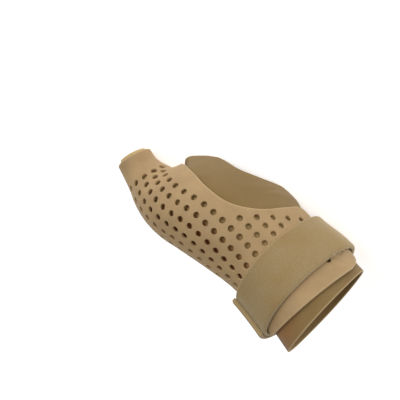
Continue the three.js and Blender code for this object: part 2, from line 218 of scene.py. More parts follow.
world = bpy.data.worlds.new("soft_room")
world.use_nodes = True
world.node_tree.nodes.clear()
room = add_node(world.node_tree, "ShaderNodeBackground", {"Color": WHITE, "Strength": ROOM_LIGHT})
add_node(world.node_tree, "ShaderNodeOutputWorld", {"Surface": room.outputs["Background"]})
bpy.context.scene.world = world

# The left light stands over the camera's left shoulder, a metre off, and reaches into the perforations.
left_place = to_rest.to_3x3() @ (0.8 * towards_camera - 0.55 * image_right + 0.25 * image_up)
LIT_POINT = Vector((0, 0, 0.04))
# columns: name, place, size, watts
SOFTBOXES = [
    ("key_softbox", (1.00, -0.25, 0.42), 0.80, 1.2),
    ("back_softbox", (0.35, 0.90, 0.50), 0.60, 1.2),
    ("left_softbox", tuple(left_place), 0.25, 1.8),
]
for name, place, size, watts in SOFTBOXES:
    lamp = bpy.data.lights.new(name, "AREA")
    lamp.shape = "SQUARE"
    lamp.size = size
    lamp.energy = watts
    softbox = add_object(name, lamp)
    softbox.location = place
    softbox.rotation_euler = (LIT_POINT - Vector(place)).to_track_quat("-Z", "Y").to_euler()

# The liner
# A thin sleeve of soft lining cloth next to the skin, sewn to the shape of the thumb, the side of the hand
# and the wrist, and cut open for the fingers. It shows past the shell's edges, with a painted highlight along
# its cut edge.
LENGTH = 0.136
WRIST_WIDTH = 0.056
WRIST_HEIGHT = 0.041
THUMB_WIDTH = 0.012
THUMB_HEIGHT = 0.014
LINER_WALL = 0.0010
SHELL_WALL = 0.0018
STRAP_WALL = 0.0024
LAYER_GAP = 0.00055
LINER_ROUNDING = 0.00035
SMOOTH_ANGLE = 60

# Over the root of the thumb the cloth bridges a hollow, and lies this far in from the shell.
BRIDGE_DEPTH = 0.0012
BRIDGE_AT, BRIDGE_ANGLE, BRIDGE_REACH_AT, BRIDGE_REACH_ANGLE = 5.0, 14.0, 1.9, 38.0

# Sections of the hollow from the thumb rim to the forearm rim, each one a place. Lengths are shares of the
# sizes above, and turns are in degrees.
# columns: of, along, side, height, yaw, pitch, radial, ulnar, back, palm, square
SECTIONS = [
    ("thumb", 1.000, -0.235, -0.360, -5, -18, 0.54, 0.54, 0.50, 0.50, 2.00),
    ("thumb", 0.930, -0.251, -0.409, -1, -16, 0.58, 0.58, 0.55, 0.57, 2.00),
    ("thumb", 0.864, -0.270, -0.388, -2, -14, 0.75, 0.84, 0.68, 0.72, 2.00),
    ("hand", 0.801, -0.250, -0.338, 3, 1, 0.258, 0.215, 0.262, 0.372, 2.05),
    ("hand", 0.722, -0.183, -0.219, 18, 2, 0.411, 0.596, 0.413, 0.495, 2.10),
    ("hand", 0.594, -0.060, -0.091, 8, 1, 0.502, 0.678, 0.499, 0.580, 2.20),
    ("hand", 0.449, -0.008, -0.033, 3, 1, 0.497, 0.596, 0.493, 0.537, 2.30),
    ("hand", 0.296, 0.010, -0.025, 0, 0, 0.458, 0.481, 0.462, 0.462, 2.30),
    ("hand", 0.145, 0.019, 0.010, 2, 1, 0.495, 0.475, 0.504, 0.504, 2.30),
    ("hand", 0.000, -0.024, 0.025, 6, 1, 0.525, 0.505, 0.519, 0.519, 2.30),
]

# Cut outline, row by row from the thumb rim: where a row meets its back edge and its palm edge. Angles run
# from the thumb side (0) over the back (90) to the little-finger side (180); rows at 180 close to a ring.
# columns: back place, back angle, palm place, palm angle
LINER_ROWS = [
    (0.00, 180, 0.00, -180), (0.55, 180, 0.55, -180), (1.15, 180, 1.15, -180), (1.70, 180, 1.70, -180),
    (2.20, 180, 2.20, -180), (2.65, 180, 2.65, -180), (3.22, 180, 3.22, -180), (3.27, 160, 3.28, -156),
    (3.42, 148, 3.45, -138), (3.74, 134, 3.78, -118), (4.30, 121, 4.32, -102), (4.90, 109, 4.90, -95),
    (5.44, 114, 5.44, -99), (5.84, 128, 5.84, -114), (6.08, 145, 6.12, -134), (6.23, 162, 6.27, -156),
    (6.32, 180, 6.32, -180), (6.90, 180, 6.90, -180), (7.40, 180, 7.40, -180), (7.90, 180, 7.90, -180),
    (8.45, 180, 8.45, -180), (9.00, 180, 9.00, -180),
]


def measured(row):
    """A section with its shares turned into metres and radians."""
    kind, reach, side, height, yaw, pitch, radial, ulnar, back, palm, square = row
    wide, high = (THUMB_WIDTH, THUMB_HEIGHT) if kind == "thumb" else (WRIST_WIDTH, WRIST_HEIGHT)
    return (
        side * WRIST_WIDTH, reach * LENGTH, height * WRIST_HEIGHT, math.radians(yaw), math.radians(pitch),
        radial * wide, ulnar * wide, back * high, palm * high, square,
    )


MEASURED = np.array([measured(row) for row in SECTIONS])


def blend(table, place):
    """Catmull-Rom blend of a table's rows at any places; the ends carry on straight."""
    last = len(table) - 1
    place = np.clip(place, 0, last)
    i = np.minimum(place.astype(int), last - 1)
    t = (place - i)[..., None]
    b, c = table[i], table[i + 1]
    a = np.where((i > 0)[..., None], table[np.maximum(i - 1, 0)], 2 * b - c)
    d = np.where((i + 2 <= last)[..., None], table[np.minimum(i + 2, last)], 2 * c - b)
    return b + 0.5 * t * ((c - a) + t * ((2 * a - 5 * b + 4 * c - d) + t * (3 * b - a - 3 * c + d)))


def hollow_point(at, angle):
    """Points on the wall of the hollow that the hand fills."""
    at, angle = np.broadcast_arrays(np.asarray(at, float), np.radians(angle))
    x, y, z, yaw, pitch, radial, ulnar, back, palm, square = np.moveaxis(blend(MEASURED, at), -1, 0)
    across = np.stack([np.cos(yaw), np.sin(yaw), np.zeros_like(yaw)], -1)
    forward = np.stack([-np.sin(yaw) * np.cos(pitch), np.cos(yaw) * np.cos(pitch), -np.sin(pitch)], -1)
    up = np.cross(across, forward)
    c, s = np.cos(angle), np.sin(angle)
    reach = (np.abs(c) ** square + np.abs(s) ** square) ** (-1 / square)
    width = c * reach * np.where(c > 0, radial, ulnar)
    height = s * reach * np.where(s > 0, back, palm)
    return np.stack([x, y, z], -1) - across * width[..., None] + up * height[..., None]


def form_point(at, angle, offset):
    """Points at a distance outside the wall of the hollow."""
    at, angle, offset = np.broadcast_arrays(np.asarray(at, float), np.asarray(angle, float), offset)
    along_wall = hollow_point(at + 0.002, angle) - hollow_point(at - 0.002, angle)
    round_wall = hollow_point(at, angle + 0.1) - hollow_point(at, angle - 0.1)
    normal = np.cross(along_wall, round_wall)
    normal /= np.linalg.norm(normal, axis=-1, keepdims=True)
    return hollow_point(at, angle) + normal * offset[..., None]


def rested(points):
    """The same points where the splint lies at rest."""
    turn = np.array(to_rest.to_3x3())
    return points @ turn.T + np.array(REST_SHIFT)


def outline_rows(table, places):
    """Rows of a cut outline at the given places in its table, each with whether it goes all round."""
    rows = blend(np.array(table, float), places)
    whole = np.array([entry[1] == 180 for entry in table])
    closed = whole[np.floor(places).astype(int)] & whole[np.ceil(places).astype(int)]
    rows[:, 1] = np.where(closed, 180, np.minimum(rows[:, 1], 179.4))
    rows[:, 3] = np.where(closed, -180, np.maximum(rows[:, 3], -179.4))
    return rows, closed


def crowded(count, margins, length):
    """Shares from 0 to 1, evenly spread, with a few more at small distances from both ends."""
    inside = np.linspace(margins[-1] * 1.6 / length, 1 - margins[-1] * 1.6 / length, count)
    ends = np.array(margins) / length
    return np.concatenate([ends, inside, 1 - ends[::-1]])


def wall_faces(rows, columns, closed):
    """Faces of a walled grid. Point (row, column) is the outer face's, and row * columns + column + total
    the inner one's. Where two neighbouring rows are closed, their last column meets their first."""
    total = rows * columns
    faces = []
    outer = lambda i, j: i * columns + (0 if closed[i] and j == columns - 1 else j)
    inner = lambda i, j: total + outer(i, j)
    for i in range(rows - 1):
        for j in range(columns - 1):
            faces.append((outer(i, j), outer(i + 1, j), outer(i + 1, j + 1), outer(i, j + 1)))
            faces.append((inner(i, j), inner(i, j + 1), inner(i + 1, j + 1), inner(i + 1, j)))
        if not (closed[i] and closed[i + 1]):
            end = columns - 1
            faces.append((inner(i, 0), inner(i + 1, 0), outer(i + 1, 0), outer(i, 0)))
            faces.append((inner(i + 1, end), inner(i, end), outer(i, end), outer(i + 1, end)))
    end = rows - 1
    for j in range(columns - 1):
        faces.append((outer(0, j + 1), inner(0, j + 1), inner(0, j), outer(0, j)))
        faces.append((outer(end, j), inner(end, j), inner(end, j + 1), outer(end, j + 1)))
    return [face for face in faces if len(set(face)) == 4]


EDGE_STEP = 0.0001


def edge_distance(points, closed):
    """How far each grid point is from the cut edge of its sheet."""
    lines = [points[0], points[-1]]
    start = 0
    open_rows = [i for i in range(len(closed)) if not closed[i]]
    runs = np.split(open_rows, np.nonzero(np.diff(open_rows) > 1)[0] + 1) if open_rows else []
    for run in runs:
        reach = [i for i in range(run[0] - 1, run[-1] + 2) if 0 <= i < len(closed)]
        lines += [points[reach, 0], points[reach, -1]]
    dots = []
    for line in lines:
        for a, b in zip(line[:-1], line[1:]):
            steps = max(1, int(np.linalg.norm(b - a) / EDGE_STEP))
            dots.append(a + (b - a) * (np.arange(steps) / steps)[:, None])
    dots = np.concatenate(dots)
    tree = KDTree(len(dots))
    for i, dot in enumerate(dots):
        tree.insert(dot, i)
    tree.balance()
    flat = points.reshape(-1, 3)
    return np.array([tree.find(point)[2] for point in flat]).reshape(points.shape[:2])


def rounding(distance, radius):
    """How much lower a rounded edge is, at a distance in from the cut."""
    inside = np.clip(radius - distance, 0, radius)
    return radius - np.sqrt(radius ** 2 - inside ** 2)


def walled_sheet(name, outer, inner, closed, distance, lengthwise):
    """A mesh of a sheet between two grids of points, with a UV map in metres and its distance from the cut."""
    rows, columns = distance.shape
    points = np.concatenate([outer.reshape(-1, 3), inner.reshape(-1, 3)])
    faces = wall_faces(rows, columns, closed)
    mesh = bpy.data.meshes.new(name)
    mesh.from_pydata(points.tolist(), [], faces)
    round_way = np.zeros((rows, columns))
    round_way[:, 1:] = np.cumsum(np.linalg.norm(np.diff(outer, axis=1), axis=2), axis=1)
    round_way -= round_way[:, [columns // 2]]
    uv = np.stack([round_way, lengthwise], -1).reshape(-1, 2)
    uv = np.concatenate([uv, uv])
    corners = np.zeros(len(mesh.loops), int)
    mesh.loops.foreach_get("vertex_index", corners)
    layer = mesh.uv_layers.new(name="cloth")
    layer.data.foreach_set("uv", uv[corners].ravel())
    cut = mesh.attributes.new("from_cut", "FLOAT", "POINT")
    both = np.concatenate([distance.ravel(), distance.ravel()]) * 1000
    cut.data.foreach_set("value", both.astype(np.float32))
    return mesh


def tidy_mesh(mesh, sharp):
    """Drops unused points, turns faces outwards and shades smooth up to an angle."""
    work = bmesh.new()
    work.from_mesh(mesh)
    loose = [v for v in work.verts if not v.link_faces]
    bmesh.ops.delete(work, geom=loose, context="VERTS")
    bmesh.ops.recalc_face_normals(work, faces=work.faces)
    if work.calc_volume(signed=True) < 0:
        bmesh.ops.reverse_faces(work, faces=work.faces)
    work.to_mesh(mesh)
    work.free()
    mesh.shade_smooth()
    mesh.set_sharp_from_angle(angle=math.radians(sharp))


def lengthwise_way(points):
    """Distance travelled down the middle of each column, row by row."""
    way = np.zeros(points.shape[:2])
    way[1:] = np.cumsum(np.linalg.norm(np.diff(points, axis=0), axis=2), axis=0)
    return way


# Soft folds in the liner where nothing holds it down, as ridges from one place to another. A place is
# about 19 mm long there, and a degree about 0.42 mm.
# columns: from place, from angle, to place, to angle, half width mm, height mm
LINER_FOLDS = [
    (5.70, 104, 5.95, 122, 1.6, 0.45),
    (5.85, 98, 6.18, 124, 1.5, 0.55),
    (5.40, 92, 5.75, 108, 2.0, 0.30),
    (6.20, 118, 6.45, 150, 1.8, 0.40),
    (8.55, 40, 8.90, 75, 2.2, 0.45),
    (8.60, -20, 8.95, 10, 2.4, 0.40),
    (4.20, 80, 4.80, 96, 3.0, 0.25),
]
PLACE_MM = 19.0
ANGLE_MM = 0.42


def fold_height(at, angle):
    """Height of the folds at a place, in metres."""
    height = np.zeros(np.broadcast(at, angle).shape)
    for at_0, angle_0, at_1, angle_1, wide, high in LINER_FOLDS:
        start = np.array([at_0 * PLACE_MM, angle_0 * ANGLE_MM])
        way = np.array([at_1 * PLACE_MM, angle_1 * ANGLE_MM]) - start
        x, y = at * PLACE_MM - start[0], angle * ANGLE_MM - start[1]
        share = np.clip((x * way[0] + y * way[1]) / (way @ way), 0, 1)
        gap = np.hypot(x - share * way[0], y - share * way[1])
        taper = np.sin(np.pi * np.clip(share, 0.08, 0.92))
        height += high * taper * np.exp(-((gap / wide) ** 2)) / 1000
    return height


def mound(at, angle, at_0, angle_0, reach_at, reach_angle):
    """1 at one place and angle, falling away softly all round it."""
    return np.exp(-(((at - at_0) / reach_at) ** 2) - ((angle - angle_0) / reach_angle) ** 2)


# Beside the shell's web corner the liner's edge stands up from the hand.
CORNER_RISE = 0.0045
CORNER_AT, CORNER_ANGLE, CORNER_REACH_AT, CORNER_REACH_ANGLE = 3.45, 141.0, 0.36, 24.0
CORNER_EDGE_FROM, CORNER_EDGE_SLOPE, CORNER_START = (3.22, 150.0), -128.0, 16.0


def corner_rise(at, angle):
    """Height of the turned-up corner, which starts at the shell's edge."""
    shell_edge = CORNER_EDGE_FROM[1] + CORNER_EDGE_SLOPE * (at - CORNER_EDGE_FROM[0])
    past = np.clip((angle - shell_edge) / CORNER_START, 0, 1)
    near = mound(at, angle, CORNER_AT, CORNER_ANGLE, CORNER_REACH_AT, CORNER_REACH_ANGLE)
    return CORNER_RISE * near * past * past * (3 - 2 * past)


# The shell's cut outline, in the same terms as the liner's
# columns: back place, back angle, palm place, palm angle
SHELL_ROWS = [
    (0.18, 180, 0.18, -180), (0.62, 180, 0.62, -180), (1.15, 180, 1.15, -180), (1.70, 180, 1.70, -180),
    (2.20, 180, 2.20, -180), (2.65, 180, 2.65, -180), (3.12, 180, 3.12, -180), (3.22, 150, 3.23, -150),
    (3.36, 122, 3.39, -122), (3.60, 103, 3.65, -98), (4.12, 85, 4.15, -76), (4.70, 68, 4.72, -61),
    (5.30, 62, 5.30, -54), (5.79, 67, 5.80, -54), (6.19, 81, 6.22, -57), (6.47, 107, 6.58, -61),
    (6.62, 127, 6.90, -65), (6.95, 134, 7.22, -68), (7.50, 134, 7.62, -69), (8.05, 134, 7.98, -69),
    (8.48, 132, 8.26, -67), (8.70, 125, 8.40, -61), (8.80, 110, 8.46, -50),
]

# Under the shell, from a few degrees in from its edge, the cloth is painted paler: painted light in the shaded
# perforations. At the root of the thumb, where the hollow lies in its shade, it is painted redder brown as
# painted shade.
PAINTED_LIGHT_BORDER = 4.0
PAINTED_LIGHT_FADE = 14.0
PAINTED_LIGHT_END = 8.6
SHADE_AT, SHADE_ANGLE, SHADE_REACH_AT, SHADE_REACH_ANGLE = 5.4, -8.0, 3.2, 50.0

EDGE_MARGINS = (0.0, 0.00012, 0.00026, 0.00045, 0.0008)
SHEET_COLUMNS = 84
rim_places = np.array([0.0, 0.02, 0.05, 0.09, 0.16])


def outline_grid(table, places, length):
    """A cut sheet's outline rows and closed rows, and the place and angle of each point between its edges."""
    rows, closed = outline_rows(table, places)
    shares = crowded(SHEET_COLUMNS, EDGE_MARGINS, length)
    at = rows[:, [2]] + (rows[:, [0]] - rows[:, [2]]) * shares
    angle = rows[:, [3]] + (rows[:, [1]] - rows[:, [3]]) * shares
    return rows, closed, at, angle


LINER_ROUND_WAY = 0.09
liner_places = np.concatenate([
    rim_places, np.arange(0.25, 6.0, 0.125), np.arange(6.0, 7.2, 0.05), np.arange(7.25, 15.2, 0.125),
    np.arange(15.25, 16.2, 0.0625), np.arange(16.25, 20.8, 0.125), len(LINER_ROWS) - 1 - rim_places[::-1],
])
_, liner_closed, liner_at, liner_angle = outline_grid(LINER_ROWS, liner_places, LINER_ROUND_WAY)
sink = BRIDGE_DEPTH * mound(
    liner_at, liner_angle, BRIDGE_AT, BRIDGE_ANGLE, BRIDGE_REACH_AT, BRIDGE_REACH_ANGLE
)
fold = fold_height(liner_at, liner_angle) + corner_rise(liner_at, liner_angle)
middle = form_point(liner_at, liner_angle, LINER_WALL / 2)
liner_cut = edge_distance(middle, liner_closed)
drop = rounding(liner_cut, LINER_ROUNDING)
liner_outer = rested(form_point(liner_at, liner_angle, LINER_WALL - sink + fold - drop))
liner_inner = rested(form_point(liner_at, liner_angle, fold - sink + drop))
liner_outer[..., 2] = np.maximum(liner_outer[..., 2], 0.0)
liner_inner[..., 2] = np.maximum(liner_inner[..., 2], LINER_WALL)
liner_mesh = walled_sheet(
    "liner_cloth", liner_outer, liner_inner, liner_closed, liner_cut, lengthwise_way(middle)
)
# Painted shade: a share that is 1 at the root of the thumb, where the hollow lies in shade, and falls away
# round it.
painted_shade_share = mound(
    liner_at, liner_angle, SHADE_AT, SHADE_ANGLE, SHADE_REACH_AT, SHADE_REACH_ANGLE
).ravel()
# Painted light: a share that rises from a few degrees in under the shell's outline and lightens the cloth seen
# in the shaded perforations.
covered_rows = np.array(SHELL_ROWS, float)
to_back = np.interp(liner_at, covered_rows[:, 0], covered_rows[:, 1]) - PAINTED_LIGHT_BORDER - liner_angle
to_palm = liner_angle - np.interp(liner_at, covered_rows[:, 2], covered_rows[:, 3]) - PAINTED_LIGHT_BORDER
to_end = (PAINTED_LIGHT_END - liner_at) * PAINTED_LIGHT_FADE
covered = np.minimum(np.minimum(to_back, to_palm), to_end) / PAINTED_LIGHT_FADE
painted_light_share = np.clip(covered, 0, 1).ravel() * (1 - painted_shade_share)
for name, share in (("sunk", painted_shade_share), ("pressed", painted_light_share)):
    layer = liner_mesh.attributes.new(name, "FLOAT", "POINT")
    layer.data.foreach_set("value", np.concatenate([share, share]).astype(np.float32))
tidy_mesh(liner_mesh, SMOOTH_ANGLE)

# Brushed lining cloth on a thin foam back: dull olive-tan, with a fine rib along the sleeve. Its real threads
# are 0.3 mm apart; the rib is drawn every 0.9 mm so that it shows.
RIB_SPACING = 0.0009
liner_material, tree, point = new_material("brushed_lining_cloth")
weave = add_node(tree, "ShaderNodeUVMap", uv_map="cloth")
ribs = add_node(tree, "ShaderNodeTexWave", {
    "Vector": weave.outputs["UV"], "Scale": 1 / RIB_SPACING / 20 * math.pi, "Distortion": 0.6, "Detail": 2.0,
    "Detail Scale": 1.5,
}, bands_direction="X")
nap = noise(tree, point, 1400.0, 3.0, 0.6)
patches = noise(tree, point, 70.0, 4.0, 0.55)
body = mixed(tree, ranged(tree, patches, 0.3, 0.7), "#8a6f40", "#987d4d")
fibre = mixed(tree, nap, "#7d6640", body)
# Painted shade: redder brown at the root of the thumb.
shaded = mixed(tree, ranged(tree, mesh_value(tree, "sunk"), 0.15, 0.8, 0.0, 0.95), fibre, "#a5581c")
# Painted light: paler cloth under the shell, for the shaded perforations.
with_painted_light = mixed(tree, ranged(tree, mesh_value(tree, "pressed"), 0.0, 1.0, 0.0, 0.85), shaded, "#d8bb82")
# Painted highlight: paler within about 0.75 mm of the cut edge.
liner_edge_highlight = ranged(tree, mesh_value(tree, "from_cut"), 0.15, 0.75, 0.8, 0.0)
relief = calculate(tree, "ADD", calculate(tree, "MULTIPLY", ribs.outputs["Fac"], 0.35), nap)
finish_surface(tree, {
    "Base Color": mixed(tree, liner_edge_highlight, with_painted_light, "#c2a67a"),
    "Roughness": 0.95,
    "Specular IOR Level": 0.2,
    "Sheen Weight": 0.15,
    "Sheen Roughness": 0.6,
    "Normal": bumped(tree, relief, 0.45, 0.00012),
})
liner_mesh.materials.append(liner_material)
liner_cloth = add_object("liner_cloth", liner_mesh)
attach(liner_cloth, "root")
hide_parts("liner")

# The shell
# A sheet of low-temperature thermoplastic, cut out, softened in warm water and moulded over the liner. Its
# cut edges are smoothed round, and the punched perforations are drawn a little out of square by the moulding.
SHELL_INSIDE = LINER_WALL + LAYER_GAP
SHELL_OUTSIDE = SHELL_INSIDE + SHELL_WALL
SHELL_ROUNDING = 0.0008
SHELL_ROUND_WAY = 0.075
shell_places = np.concatenate([
    rim_places, np.arange(0.25, 6.0, 0.125), np.arange(6.0, 7.2, 0.04), np.arange(7.25, 20.9, 0.125),
    np.arange(21.0, 21.8, 0.0625), len(SHELL_ROWS) - 1 - rim_places[::-1],
])
shell_outline, shell_closed, shell_at, shell_angle = outline_grid(SHELL_ROWS, shell_places, SHELL_ROUND_WAY)
middle = form_point(shell_at, shell_angle, (SHELL_INSIDE + SHELL_OUTSIDE) / 2)
shell_cut = edge_distance(middle, shell_closed)
drop = rounding(shell_cut, SHELL_ROUNDING)
shell_outer = rested(form_point(shell_at, shell_angle, SHELL_OUTSIDE - drop))
shell_inner = rested(form_point(shell_at, shell_angle, SHELL_INSIDE + drop))
shell_outer[..., 2] = np.maximum(shell_outer[..., 2], 0.0)
shell_mesh = walled_sheet(
    "shell_sheet", shell_outer, shell_inner, shell_closed, shell_cut, lengthwise_way(middle)
)
tidy_mesh(shell_mesh, SMOOTH_ANGLE)
shell_blank = add_object("shell_blank", shell_mesh)

# The grid of perforations, laid out by arc length along a guide line on the thumb side and round from it.
# Pitches, borders and drifts are in millimetres.
HOLE_DIAMETER = 0.0032
HOLE_FLARE = 0.18
HOLE_SHARP_ANGLE = 38
HOLE_PITCH_ALONG = 5.87
HOLE_PITCH_AROUND = 7.1
HOLE_BORDER = 4.9
HOLE_APART = 4.8
HOLE_RING_CLEAR = 16
HOLE_WEB_COLUMN, HOLE_WEB_FIRST_ROW, HOLE_WEB_LAST_ROW = -3, -8, 0
HOLE_GUIDE_ANGLE = 20
HOLE_FIRST_ALONG = 83.9
HOLE_FIRST_AROUND = 11.4
HOLE_ROW_DRIFT = -0.63
HOLE_COLUMN_DRIFT = -0.65
HOLE_BOW = 0.061
HOLE_FAN = 0.113
HOLE_CROWD = 0.062
HOLE_TWIST = -0.0594
HOLE_STRAP_EDGE = 7.13
HOLE_STRAP_SLANT = 0.0015
HOLE_PAST_STRAP = (8.22, 90.4)
HOLE_REACH = 24

guide_at = np.arange(0, 9.001, 0.01)
guide_line = form_point(guide_at, HOLE_GUIDE_ANGLE, SHELL_OUTSIDE)
guide_length = np.concatenate([[0], np.cumsum(np.linalg.norm(np.diff(guide_line, axis=0), axis=1))]) * 1000
open_rows = ~shell_closed
edge_points = np.concatenate([
    form_point(shell_outline[open_rows, 0], shell_outline[open_rows, 1], SHELL_OUTSIDE),
    form_point(shell_outline[open_rows, 2], shell_outline[open_rows, 3], SHELL_OUTSIDE),
    form_point(shell_at[-1], shell_angle[-1], SHELL_OUTSIDE),
])


def angle_at_arc(at, arc):
    """Angle reached by going a signed arc length, in millimetres, round a section from the guide line."""
    step = math.copysign(2.0, arc)
    angles = HOLE_GUIDE_ANGLE + step * np.arange(90)
    points = form_point(at, angles, SHELL_OUTSIDE)
    way = np.concatenate([[0], np.cumsum(np.linalg.norm(np.diff(points, axis=0), axis=1))]) * 1000
    return float(np.interp(abs(arc), way, angles)) if abs(arc) < way[-1] else None


holes = []
for i in range(-HOLE_REACH, HOLE_REACH + 1):
    for j in range(-HOLE_REACH, HOLE_REACH + 1):
        bow = HOLE_BOW * (i * i + j * j) - HOLE_TWIST * i * j
        reach = HOLE_FIRST_ALONG + HOLE_PITCH_ALONG * i + HOLE_COLUMN_DRIFT * j - bow
        crowd = HOLE_CROWD * j * j
        around = HOLE_FIRST_AROUND + HOLE_ROW_DRIFT * i + (HOLE_PITCH_AROUND + HOLE_FAN * i) * j - crowd
        at = float(np.interp(reach, guide_length, guide_at))
        if i < HOLE_WEB_COLUMN and not HOLE_WEB_FIRST_ROW <= j <= HOLE_WEB_LAST_ROW:
            continue
        if reach < HOLE_RING_CLEAR or reach >= guide_length[-1]:
            continue
        angle = angle_at_arc(at, around)
        if angle is None or at + HOLE_STRAP_SLANT * max(angle, 0) > HOLE_STRAP_EDGE:
            continue
        row = shell_outline[np.searchsorted(shell_outline[:, 0], at)]
        if angle > row[1] or angle < row[3]:
            continue
        center = form_point(at, angle, SHELL_OUTSIDE)
        if np.linalg.norm(edge_points - center, axis=1).min() * 1000 < HOLE_BORDER:
            continue
        if any(np.linalg.norm(other[2] - center) * 1000 < HOLE_APART for other in holes):
            continue
        holes.append((at, angle, center))

hole_at = np.array([hole[0] for hole in holes] + [HOLE_PAST_STRAP[0]])
hole_angle = np.array([hole[1] for hole in holes] + [HOLE_PAST_STRAP[1]])
hole_middle = rested(form_point(hole_at, hole_angle, (SHELL_INSIDE + SHELL_OUTSIDE) / 2))
hole_axis = rested(form_point(hole_at, hole_angle, SHELL_OUTSIDE)) - hole_middle
spots_mesh = bpy.data.meshes.new("hole_places")
spots_mesh.from_pydata(hole_middle.tolist(), [], [])
axis = spots_mesh.attributes.new("hole_axis", "FLOAT_VECTOR", "POINT")
axis.data.foreach_set("vector", (hole_axis / np.linalg.norm(hole_axis, axis=1)[:, None]).ravel())
hole_places = add_object("hole_places", spots_mesh)

# Low-temperature thermoplastic: a matt, skin-coloured sheet with a faint mottle and a fine orange peel from
# the moulding. Along the cut edges a painted highlight makes it paler.
shell_material, tree, point = new_material("moulded_splinting_thermoplastic")
mottle = noise(tree, point, 90.0, 5.0, 0.6)
body = mixed(tree, ranged(tree, mottle, 0.35, 0.65), "#a98c63", "#b4966b")
# Painted highlight: paler within about a millimetre of the cut edges.
shell_edge_highlight = ranged(tree, mesh_value(tree, "from_cut"), 0.2, 1.1, 0.55, 0.0)
finish_surface(tree, {
    "Base Color": mixed(tree, shell_edge_highlight, body, "#d0b588"),
    "Roughness": ranged(tree, mottle, 0.3, 0.7, 0.52, 0.64),
    "IOR": 1.46,
    "Specular IOR Level": 0.4,
    "Normal": bumped(tree, noise(tree, point, 900.0), 0.25, 0.00006),
})

# The perforations: a round punch with flared ends at every place of the grid, taken out of the sheet
punch, punch_sockets, given = new_group("punched_perforations", {
    "Sheet": "Geometry", "Hole Places": "Object", "Hole Diameter": "Float", "Sheet Thickness": "Float",
    "Rim Flare": "Float", "Finish": "Material",
}, "Perforated Sheet")
bar = add_node(punch, "GeometryNodeMeshCylinder", {
    "Vertices": 24, "Side Segments": 16,
    "Radius": calculate(punch, "MULTIPLY", given["Hole Diameter"], 0.5),
    "Depth": calculate(punch, "MULTIPLY", given["Sheet Thickness"], 1.6),
})
position = add_node(punch, "GeometryNodeInputPosition")
split = add_node(punch, "ShaderNodeSeparateXYZ", {0: position.outputs[0]})
rise = add_node(punch, "ShaderNodeMapRange", {
    "Value": calculate(punch, "ABSOLUTE", split.outputs["Z"]),
    "From Min": calculate(punch, "MULTIPLY", given["Sheet Thickness"], 0.22),
    "From Max": calculate(punch, "MULTIPLY", given["Sheet Thickness"], 0.5),
}, clamp=False)
curved = calculate(punch, "POWER", calculate(punch, "MAXIMUM", rise.outputs["Result"], 0.0), 2.0)
wider = calculate(punch, "MULTIPLY_ADD", curved, given["Rim Flare"], 1.0)
spread = add_node(punch, "ShaderNodeCombineXYZ", {"X": wider, "Y": wider, "Z": 1.0})
scaled = add_node(punch, "ShaderNodeVectorMath", {
    0: position.outputs[0], 1: spread.outputs[0],
}, operation="MULTIPLY")
flared = add_node(punch, "GeometryNodeSetPosition", {
    "Geometry": bar.outputs["Mesh"], "Position": scaled.outputs[0],
})
spots = add_node(punch, "GeometryNodeObjectInfo", {"Object": given["Hole Places"]})
axis = add_node(punch, "GeometryNodeInputNamedAttribute", {"Name": "hole_axis"}, data_type="FLOAT_VECTOR")
turn = add_node(punch, "FunctionNodeAlignRotationToVector", {"Vector": axis.outputs["Attribute"]}, axis="Z")
punches = add_node(punch, "GeometryNodeInstanceOnPoints", {
    "Points": spots.outputs["Geometry"], "Instance": flared.outputs["Geometry"],
    "Rotation": turn.outputs["Rotation"],
})
solid_punches = add_node(punch, "GeometryNodeRealizeInstances", {"Geometry": punches.outputs["Instances"]})
cut_out = add_node(punch, "GeometryNodeMeshBoolean", {
    "Mesh 1": given["Sheet"], "Mesh 2": solid_punches.outputs["Geometry"],
}, operation="DIFFERENCE", solver="EXACT")
close_group(punch, cut_out.outputs["Mesh"], given["Finish"], "Perforated Sheet")

perforated = run_group(punch, punch_sockets, shell_blank, {
    "Hole Places": hole_places, "Hole Diameter": HOLE_DIAMETER, "Sheet Thickness": SHELL_WALL,
    "Rim Flare": HOLE_FLARE, "Finish": shell_material,
}, "shell_sheet", shell_material)
perforated.set_sharp_from_angle(angle=math.radians(HOLE_SHARP_ANGLE))
shell_sheet = add_object("shell_sheet", perforated)
bpy.data.objects.remove(shell_blank)
bpy.data.objects.remove(hole_places)
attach(shell_sheet, "root")
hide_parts("shell")

# The strap
# A hook-and-loop strap wound once round the wrist over the shell, its outer end lapped and pressed down on
# the thumb side. It is a knitted band with a brushed loop pile on a thin foam, so its edges are soft.
STRAP_WIDTH = 0.0245
STRAP_AT = 7.75
STRAP_LEAN = 0.11
STRAP_START_ANGLE = -95
STRAP_END_ANGLE = 335
STRAP_RAMP_ANGLE = 42
STRAP_ROUNDING = 0.0010
STRAP_LAP_GAP = 0.00004
STRAP_UNDERSIDE_ROUNDING = 0.2
STRAP_STEPS = 300
STRAP_COLUMNS = 30
STRAP_MARGINS = (0.0, 0.00015, 0.00035, 0.0006, 0.001)


def strap_middle(turns):
    """Place of the strap's middle line, which leans across the wrist, and the length of a place there."""
    lean = STRAP_AT - STRAP_LEAN * np.cos(np.radians(turns - 90))
    return lean, np.linalg.norm(hollow_point(lean + 0.5, turns) - hollow_point(lean - 0.5, turns), axis=1)


